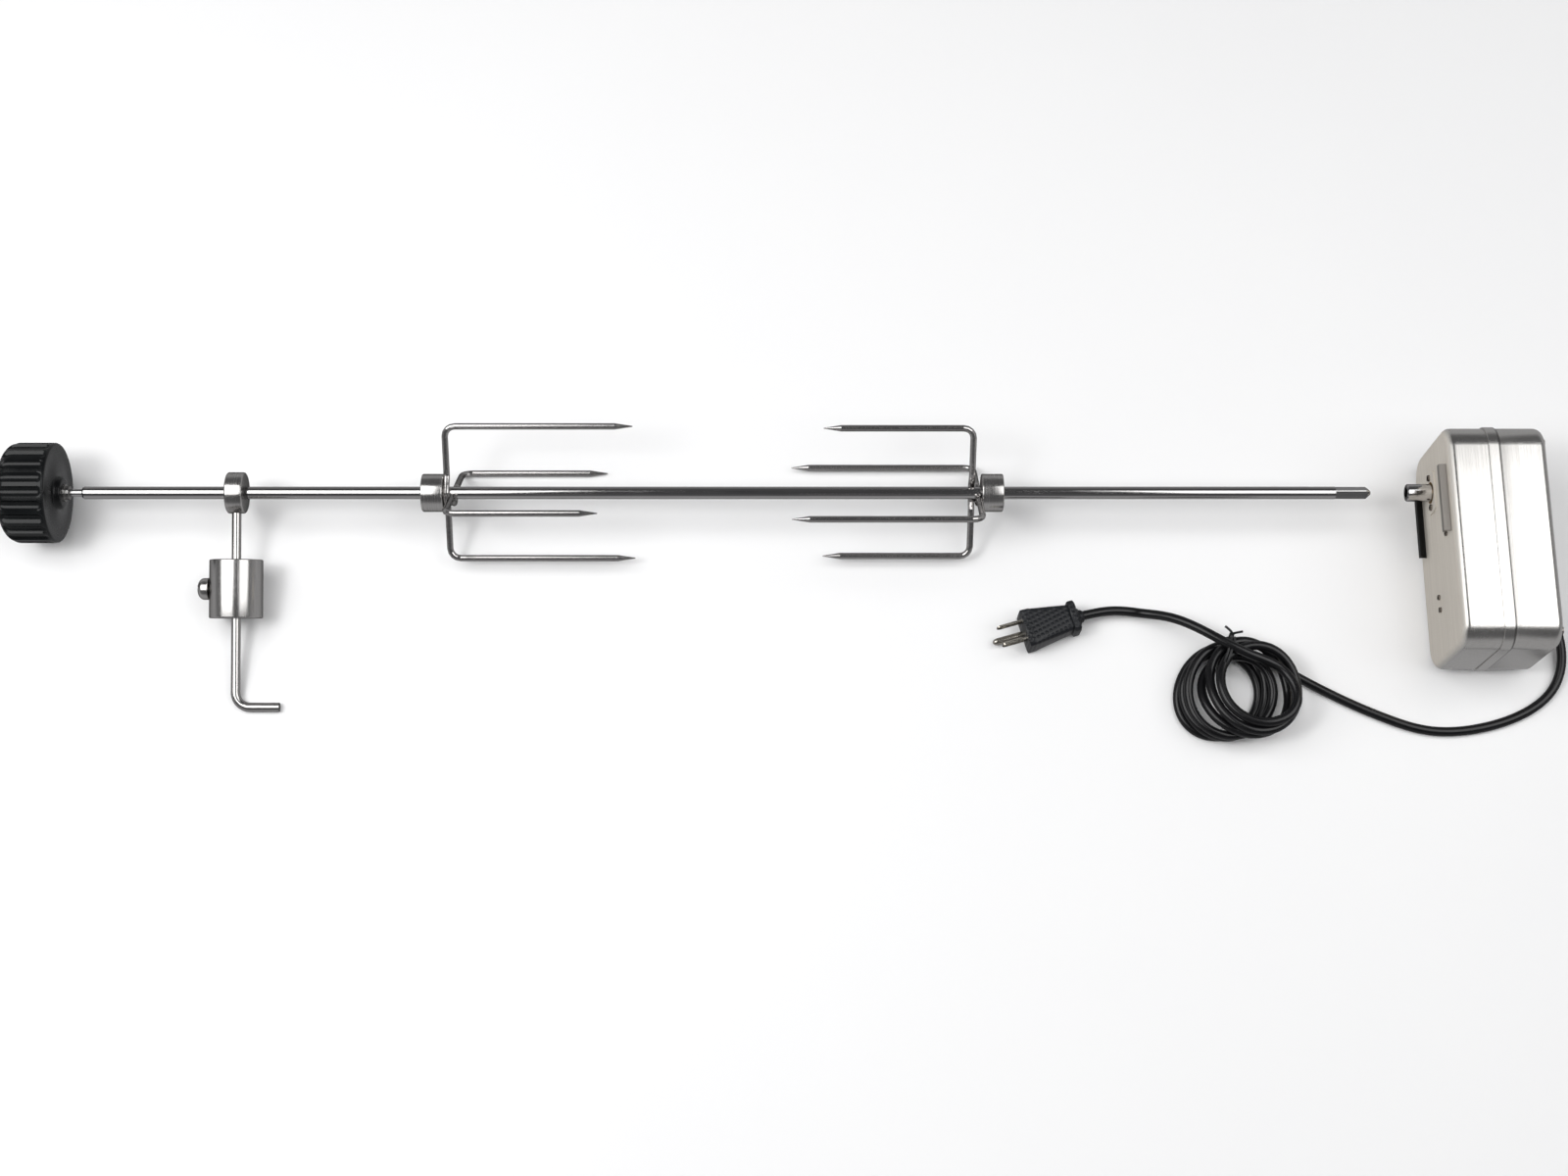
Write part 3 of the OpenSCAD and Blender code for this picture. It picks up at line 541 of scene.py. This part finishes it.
def make_cord():
    """The whole lead as one smooth line, from the strain relief to the plug."""
    at, along = relief_frame()
    begin = at + along * BOOT_LEN * MM
    points = [tuple(begin / MM), *LEAD_ROUTE, *coil_turns(), *UNDER_TIE, *TAIL_ROUTE, tuple(PLUG_AT)]
    step = 2.0
    line = smooth_path(points, step)
    line = evened(line, 30, 2)
    line = evened(lay_heights(line, step), 24, 3) * MM
    curve = bpy.data.curves.new("mains_lead", "CURVE")
    curve.dimensions = "3D"
    curve.bevel_depth = CORD_D / 2 * MM
    curve.bevel_resolution = 6
    curve.use_fill_caps = True
    spline = curve.splines.new("POLY")
    spline.points.add(len(line) - 1)
    spline.points.foreach_set("co", np.hstack([line, np.ones((len(line), 1))]).ravel())
    spline.use_smooth = True
    curve.materials.append(material["cord_pvc"])
    lead_piece = bpy.data.objects.new("mains_lead", curve)
    scene.collection.objects.link(lead_piece)
    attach(lead_piece, "motor_housing")
    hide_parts("cord_lead", "cord_coil", "cord_tail")
    return lead_piece, begin


cord_piece, cord_exit = make_cord()


def middle_of(node):
    """The middle of a CAD node's box."""
    low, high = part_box(node)
    return (low + high) / 2


AXIS = middle_of("drive_socket")       # its y and z are the spit's axis
ALONG_X = (1, 0, 0)
ROD_BORE_R = 4.3                       # a running fit on the rod, in millimetres


def on_axis(x):
    """The point of the spit's axis at x."""
    return Vector((x, AXIS.y, AXIS.z))


def cut(piece, cutters, crease=38):
    """Takes the cutters' volumes out of a piece."""
    for cutter in cutters:
        step = piece.modifiers.new("cut", "BOOLEAN")
        step.operation = "DIFFERENCE"
        step.solver = "EXACT"
        step.object = cutter
    seen = piece.evaluated_get(bpy.context.evaluated_depsgraph_get())
    mesh = bpy.data.meshes.new_from_object(seen)
    piece.modifiers.clear()
    piece.data = mesh
    mesh.shade_smooth()
    mesh.set_sharp_from_angle(angle=math.radians(crease))
    for cutter in cutters:
        bpy.data.objects.remove(cutter)


def cutter_of(bm):
    """A passing object for cut()."""
    bmesh.ops.recalc_face_normals(bm, faces=bm.faces)
    mesh = bpy.data.meshes.new("cutter")
    bm.to_mesh(mesh)
    bm.free()
    piece = bpy.data.objects.new("cutter", mesh)
    scene.collection.objects.link(piece)
    return piece


def round_cutter(origin, direction, radius, length, sides=48):
    """A cylinder to cut with."""
    bm = bmesh.new()
    lathe(bm, [(0, 0), (0, radius), (length, radius), (length, 0)], origin, direction, sides)
    return cutter_of(bm)


def box_cutter(low, high):
    """A box to cut with."""
    bm = bmesh.new()
    ring = [(low[1], low[2]), (high[1], low[2]), (high[1], high[2]), (low[1], high[2])]
    skin(bm, [[Vector((x, y, z)) for y, z in ring] for x in (low[0], high[0])])
    return cutter_of(bm)


# ------------------------------------------------------------------ spit, knob and counterweight

def make_knob():
    """The fluted knob: rounded grooves that stop short of both rims, and a boss on its inner side."""
    low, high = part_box("handle_knob")
    radius = (high.z - low.z) / 2 / MM
    thick, rim, edge, boss_r, boss_end = 34, 9, 1.6, 11, 38
    groove_w, groove_d, first, last = 6.3, 2.5, 6.4, 29.2
    ribs, per_rib = 22, 14
    bore, bore_end = 6.0, 16
    flat = [(0, 0), (0, 12), (0, radius - rim - 3)]        # the outer face's rings
    outer = [(rim * (1 - math.cos(a)), radius - rim * (1 - math.sin(a)))
             for a in np.linspace(0, math.pi / 2, 15)]
    outer += [(t, radius) for t in np.linspace(rim, thick - edge, 24)[1:]]
    outer += [(thick - edge * (1 - math.sin(a)), radius - edge * (1 - math.cos(a)))
              for a in np.linspace(0, math.pi / 2, 6)[1:]]
    inner = [(thick - 0.5, radius - 6), (thick - 0.5, boss_r + 1.4), (thick, boss_r + 0.5),
             (thick + 0.8, boss_r), (boss_end - 0.9, boss_r - 0.3), (boss_end - 0.2, boss_r - 0.7),
             (boss_end, boss_r - 1.4), (boss_end, bore), (bore_end, bore), (bore_end, 0)]
    bm = bmesh.new()
    sides = ribs * per_rib
    rings = []
    for place, (t, r) in enumerate(flat + outer + inner):
        fluted = len(flat) <= place < len(flat) + len(outer)
        if r == 0:
            rings.append([bm.verts.new(on_axis(low.x + t * MM))])
            continue
        ring = []
        for k in range(sides):
            turn = (k / per_rib) % 1.0 - 0.5
            reach = r
            if fluted:
                far = math.hypot(turn * 2 * math.pi * radius / ribs, max(0, first - t, t - last))
                reach -= groove_d * math.sqrt(max(0, 1 - (far / (groove_w / 2)) ** 2))
            a = 2 * math.pi * (k + 0.5) / sides
            ring.append(bm.verts.new(on_axis(low.x + t * MM)
                                     + Vector((0, math.cos(a), math.sin(a))) * reach * MM))
        rings.append(ring)
    for a, b in zip(rings[:-1], rings[1:]):
        for k in range(sides):
            m = (k + 1) % sides
            corners = [a[k % len(a)], a[m % len(a)], b[m % len(b)], b[k % len(b)]]
            bm.faces.new(list(dict.fromkeys(corners)))
    finish_mesh("fluted_knob", bm, "knob_plastic", "spit", ["handle_knob"], crease=50)


def ring_profile(length, bore, radius, edge, edge_steps=4):
    """A turned ring with a rounded outer edge: (distance along, radius) from bore to bore."""
    corner = [(edge * (1 - math.sin(a)), radius - edge * (1 - math.cos(a)))
              for a in np.linspace(math.pi / 2, 0, edge_steps + 1)]
    mirror = [(length - t, r) for t, r in reversed(corner)]
    return [(0, bore), *corner, *mirror, (length, bore), (0, bore)]


def make_ring(name, node, body, origin, direction, length, bore, radius, edge):
    """A turned ring that stands for one CAD node. Its sizes are in millimetres."""
    bm = bmesh.new()
    profile = [(t * MM, r * MM) for t, r in ring_profile(length, bore, radius, edge)]
    lathe(bm, profile, origin, direction, 96)
    finish_mesh(name, bm, "turned_steel", body, [node], crease=30)


def arm_direction():
    """Along the counterweight's arm, from the spit's axis down to the toe."""
    at = middle_of("balance_weight")
    return (at - on_axis(at.x)).normalized()


def make_counterweight():
    """The collar on the rod, the weight on its arm, and the screw that clamps the weight."""
    along = arm_direction()
    collar = middle_of("balance_collar")
    weight = middle_of("balance_weight")
    collar_w, collar_r, weight_len, weight_r, arm_bore_r = 12, 14.15, 40, 18, 3.23
    make_ring("turned_collar", "balance_collar", "collar", on_axis(collar.x - collar_w / 2 * MM),
              ALONG_X, collar_w, ROD_BORE_R, collar_r, 1.3)
    make_ring("turned_weight", "balance_weight", "weight", weight - along * weight_len / 2 * MM,
              along, weight_len, arm_bore_r, weight_r, 0.9)

    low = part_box("weight_thumbscrew")[0]
    reach = weight.x - low.x
    point, shank_r = 3.3 * MM, 3 * MM
    seat, head_r, head_t = 18.3 * MM, 7.4 * MM, 3.2 * MM
    dome = reach - seat - head_t
    profile = [(point, 0), (point, shank_r), (seat, shank_r), (seat, head_r - 0.4 * MM),
               (seat + 0.5 * MM, head_r), (seat + head_t, head_r)]
    profile += [(seat + head_t + dome * math.sin(a), head_r * math.cos(a) ** 0.8)
                for a in np.linspace(0.15, math.pi / 2 - 0.12, 8)] + [(reach, 0)]
    bm = bmesh.new()
    lathe(bm, profile, weight, (-1, 0, 0), 64)
    screw = finish_mesh("slotted_thumbscrew", bm, "turned_steel", "weight_screw",
                        ["weight_thumbscrew"])
    slot_depth, slot_w, slot_len = 2.6 * MM, 1.4 * MM, 24 * MM
    slot_low = Vector((low.x - 1 * MM, weight.y - slot_w / 2, weight.z - slot_len / 2))
    slot_high = Vector((low.x + slot_depth, weight.y + slot_w / 2, weight.z + slot_len / 2))
    cut(screw, [box_cutter(slot_low, slot_high)])


def make_hubs():
    """The hub of each fork."""
    for side in ("left", "right"):
        low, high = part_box(side + "_fork_hub")
        make_ring(side + "_turned_hub", side + "_fork_hub", side + "_fork", on_axis(low.x), ALONG_X,
                  (high.x - low.x) / MM, ROD_BORE_R, 13, 0.9)


# ------------------------------------------------------------------ motor housing

def outline(x, low, high, corner, inset, per_corner=12):
    """A ring at x: the housing's round-cornered outline, drawn in by the inset."""
    radius = corner - inset
    left, right = low.y + corner, high.y - corner
    bottom, top = low.z + corner, high.z - corner
    ring = []
    for cy, cz, start in ((right, top, 0), (left, top, 90), (left, bottom, 180), (right, bottom, 270)):
        for k in range(per_corner + 1):
            a = math.radians(start + 90 * k / per_corner)
            ring.append(Vector((x, cy + radius * math.cos(a), cz + radius * math.sin(a))))
    return ring


def make_shells():
    """Both housing shells, with soft edges round their faces, the raised band and the seam."""
    low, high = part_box("front_shell")
    rear_low, rear_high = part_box("rear_shell")
    corner, sheet, edge = 17 * MM, 1.2 * MM, 5.5 * MM
    bush_r, boot_r = 7.5 * MM, 6.5 * MM
    face, skirt, seam, rear = low.x, high.x, rear_low.x, rear_high.x
    band_end = skirt + 0.3 * MM
    rise = low.z - rear_low.z
    quarter = np.linspace(0, math.pi / 2, 9)

    steps = [(face + edge * (1 - math.cos(a)), edge * (1 - math.sin(a))) for a in quarter]
    steps += [(skirt, 0), (skirt, sheet)]
    steps += [(face + edge - (edge - sheet) * math.cos(a), edge - (edge - sheet) * math.sin(a))
              for a in reversed(quarter)]
    bm = bmesh.new()
    skin(bm, [outline(x, low, high, corner, inset) for x, inset in steps])
    front = finish_mesh("pressed_front_shell", bm, "housing_steel", "motor_housing", ["front_shell"])
    cut(front, [round_cutter(on_axis(face - 2 * MM), ALONG_X, bush_r, 6 * MM)])

    steps = [(rear - edge * (1 - math.cos(a)), edge * (1 - math.sin(a))) for a in quarter]
    steps += [(band_end + 0.3 * MM, 0), (band_end, -0.2 * MM), (band_end, 0.4 * MM - rise),
              (band_end - 0.4 * MM, -rise), (seam + 0.5 * MM, -rise), (seam, 0.4 * MM - rise),
              (seam, -0.2 * MM), (band_end - 0.2 * MM, -0.1 * MM), (band_end, sheet)]
    steps += [(rear - edge + (edge - sheet) * math.cos(a), edge - (edge - sheet) * math.sin(a))
              for a in reversed(quarter)]
    bm = bmesh.new()
    skin(bm, [outline(x, low, high, corner, inset) for x, inset in steps])
    shell = finish_mesh("pressed_rear_shell", bm, "housing_steel", "motor_housing", ["rear_shell"])
    bezel = middle_of("switch_bezel")
    at, along = relief_frame()
    opening = Vector((8 * MM, 9 * MM, 6.5 * MM))
    near = Vector((rear, bezel.y, bezel.z))
    cut(shell, [box_cutter(near - opening, near + opening),
                round_cutter(at - along * 14 * MM, along, boot_r, 28 * MM)])


def make_relief():
    """The ribbed rubber boot and its round flange on the rear face."""
    at, along = relief_frame()
    bm = bmesh.new()
    profile = [(-6, 0), (-6, 6.3), (3.0, 6.2)]
    ribs, first, pitch, rib_r, taper, groove = 6, 3.4, 3.1, 6.2, 1.5, 0.9
    for k in range(ribs):
        start = first + pitch * k
        wide = rib_r - taper * k / ribs
        thin = wide - groove
        profile += [(start, thin), (start + 1.1, thin - 0.1), (start + 1.4, wide - 0.15),
                    (start + 2.8, wide - 0.35)]
    profile += [(23.0, 4.5), (23.7, 4.2), (BOOT_LEN, 3.6), (BOOT_LEN, 0)]
    lathe(bm, [(t * MM, r * MM) for t, r in profile], at, along, 40)
    flange = [(0, 0), (0, 10.4), (1.2, 10.4), (1.9, 10.0), (2.4, 9.0), (2.8, 7.5), (2.8, 0)]
    lathe(bm, [(t * MM, r * MM) for t, r in flange],
          Vector((at.x, at.y - 1 * MM, at.z)), ALONG_X, 48)
    return finish_mesh("ribbed_boot", bm, "relief_rubber", "motor_housing", ["strain_relief"])


# ------------------------------------------------------------------ plug and tie

def on_plug(x, y, z):
    """A point of the plug, in millimetres from where the lead enters it, as it lies on the table."""
    turn = Matrix.Rotation(PLUG_YAW, 3, "Z")
    return (PLUG_AT + turn @ Vector((x, y, z))) * MM


def plug_ring(x, half_w, half_h, lift, radius, per_corner=5):
    """A round-cornered rectangle across the plug at x, with its middle lifted."""
    ring = []
    for sy, sz, start in ((1, 1, 0), (-1, 1, 90), (-1, -1, 180), (1, -1, 270)):
        for k in range(per_corner + 1):
            a = math.radians(start + 90 * k / per_corner)
            ring.append(on_plug(x, sy * (half_w - radius) + radius * math.cos(a),
                                lift + sz * (half_h - radius) + radius * math.sin(a)))
    return ring


def make_plug():
    """The moulded three-pin plug: neck, collar, tapered grip, two blades and the earth pin."""
    bm = bmesh.new()
    sections = [
        (-1, 3.4, 3.4, 0, 3.4), (0, 4.4, 4.4, 0, 4.4), (1.6, 4.7, 4.7, 0, 4.7),
        (1.8, 5.6, 5.6, 0, 5.6), (3.6, 6.2, 6.2, 0, 6.2), (3.8, 9.8, 8.8, 0, 3.0),
        (4.4, 10.8, 9.8, 0, 3.4), (5.0, 11, 10, 0, 3.4), (8.0, 11, 10, 0, 3.4),
        (8.6, 10.8, 9.8, 0, 3.4), (9.0, 10.2, 9.2, 0, 3), (9.2, 9.2, 8.2, 0, 2.8),
        (11, 9.4, 8.4, 0, 2.8), (20, 10.7, 9.5, 0.2, 2.8), (34, 12.7, 11.0, 0.4, 2.8),
        (36, 13.1, 11.4, 0.5, 2.6), (41.2, 13.2, 11.5, 0.5, 2.4), (41.8, 12.9, 11.2, 0.5, 2.2),
        (42, 12.3, 10.6, 0.5, 2),
    ]
    skin(bm, [plug_ring(*section) for section in sections])
    body = finish_mesh("moulded_plug", bm, "plug_plastic", "motor_housing", ["plug_body"], crease=42)

    bm = bmesh.new()
    spacing, blade_low, blade_high = 6.35, 2.5, 8.9
    for y in (-spacing, spacing):
        rings = []
        for x, half_t, trim in ((40, 0.75, 0), (57.6, 0.75, 0), (58.8, 0.62, 0.35), (59.5, 0.3, 1.1)):
            low, high = blade_low + trim, blade_high - trim
            corners = ((y - half_t, low), (y + half_t, low), (y + half_t, high), (y - half_t, high))
            rings.append([on_plug(x, b, c) for b, c in corners])
        skin(bm, rings)
    blades = finish_mesh("flat_blades", bm, "blade_metal", "motor_housing", ["plug_blades"], crease=25)
    across = on_plug(0, 1, 0) - on_plug(0, 0, 0)
    cut(blades, [round_cutter(on_plug(54.5, -12, 5.7), across, 1.6 * MM, 24 * MM, 24)], 25)

    bm = bmesh.new()
    profile = [(-2, 0), (-2, 2.4), (17.6, 2.4), (19.2, 2.2), (20.4, 1.7), (21.1, 1.0), (21.4, 0)]
    lathe(bm, [(t * MM, r * MM) for t, r in profile], on_plug(42, 0, -6.2),
          on_plug(1, 0, 0) - on_plug(0, 0, 0), 32)
    pin = finish_mesh("round_earth_pin", bm, "blade_metal", "motor_housing", ["plug_earth_pin"])
    return [body, blades, pin]


def make_tie():
    """The twist tie: two wraps round the coil, a twisted stub and two loose ends."""
    heading = math.radians(162)
    along = Vector((math.cos(heading), math.sin(heading), 0))
    across = Vector((along.y, -along.x, 0))
    centre = Vector((TIE_AT[0] - 6.5, TIE_AT[1] - 5, 15.4))
    wire_r, half_w, half_h, wrap_pitch, squareness = 0.85, 12.0, 14.3, 2.08, 0.7
    per_wrap, wraps = 48, 2
    wrap = []
    for k in range(wraps * per_wrap + 1):
        turn = k / per_wrap
        c, d = math.cos(2 * math.pi * turn), math.sin(2 * math.pi * turn)
        y = math.copysign(abs(c) ** squareness, c) * half_w
        z = math.copysign(abs(d) ** squareness, d) * half_h
        wrap.append(centre + across * y + Vector((0, 0, z)) + along * wrap_pitch * (turn - wraps / 2))
    foot = wrap[0].lerp(wrap[-1], 0.5)
    out = (across * 0.8 + Vector((0, 0, 0.6))).normalized()
    third = out.cross(along)
    stub, twist, twist_r, end_len, spread = 4.0, 3.5 * math.pi, 1.0, 3.0, 4.5
    wires = []
    for start, splay in ((0, 1), (math.pi, -1)):
        wire = []
        for k in range(25):
            t = k / 24
            a = start + twist * t
            wire.append(foot + out * (stub * t) + (along * math.cos(a) + third * math.sin(a)) * twist_r)
        last = wire[-1]
        droop = 2.2 if splay > 0 else 0
        for k in range(1, 9):
            t = k / 8
            wire.append(last + out * (end_len * t) + along * (splay * (spread * t + 1.5 * t * t))
                        + Vector((0, 0, 2.6 * t - droop * t * t)))
        wires.append(wire)
    bm = bmesh.new()
    for path in (wrap, *wires):
        path = [p * MM for p in path]
        skin(bm, carried_rings(path, [wire_r * MM] * len(path), 8, up=out))
    return finish_mesh("twist_tie", bm, "tie_wire", "motor_housing", ["cord_tie"])


make_knob()
make_counterweight()
make_hubs()
make_shells()
boot = make_relief()
plug_pieces = make_plug()
tie = make_tie()


def assign_frame_materials():
    """Each CAD node that still shows gets the material of its slot."""
    for row in frame["record"]["subparts"]:
        piece = frame["nodes"][row["node"]]
        piece.data.materials.clear()
        piece.data.materials.append(material[row["material_slot"]])


assign_frame_materials()
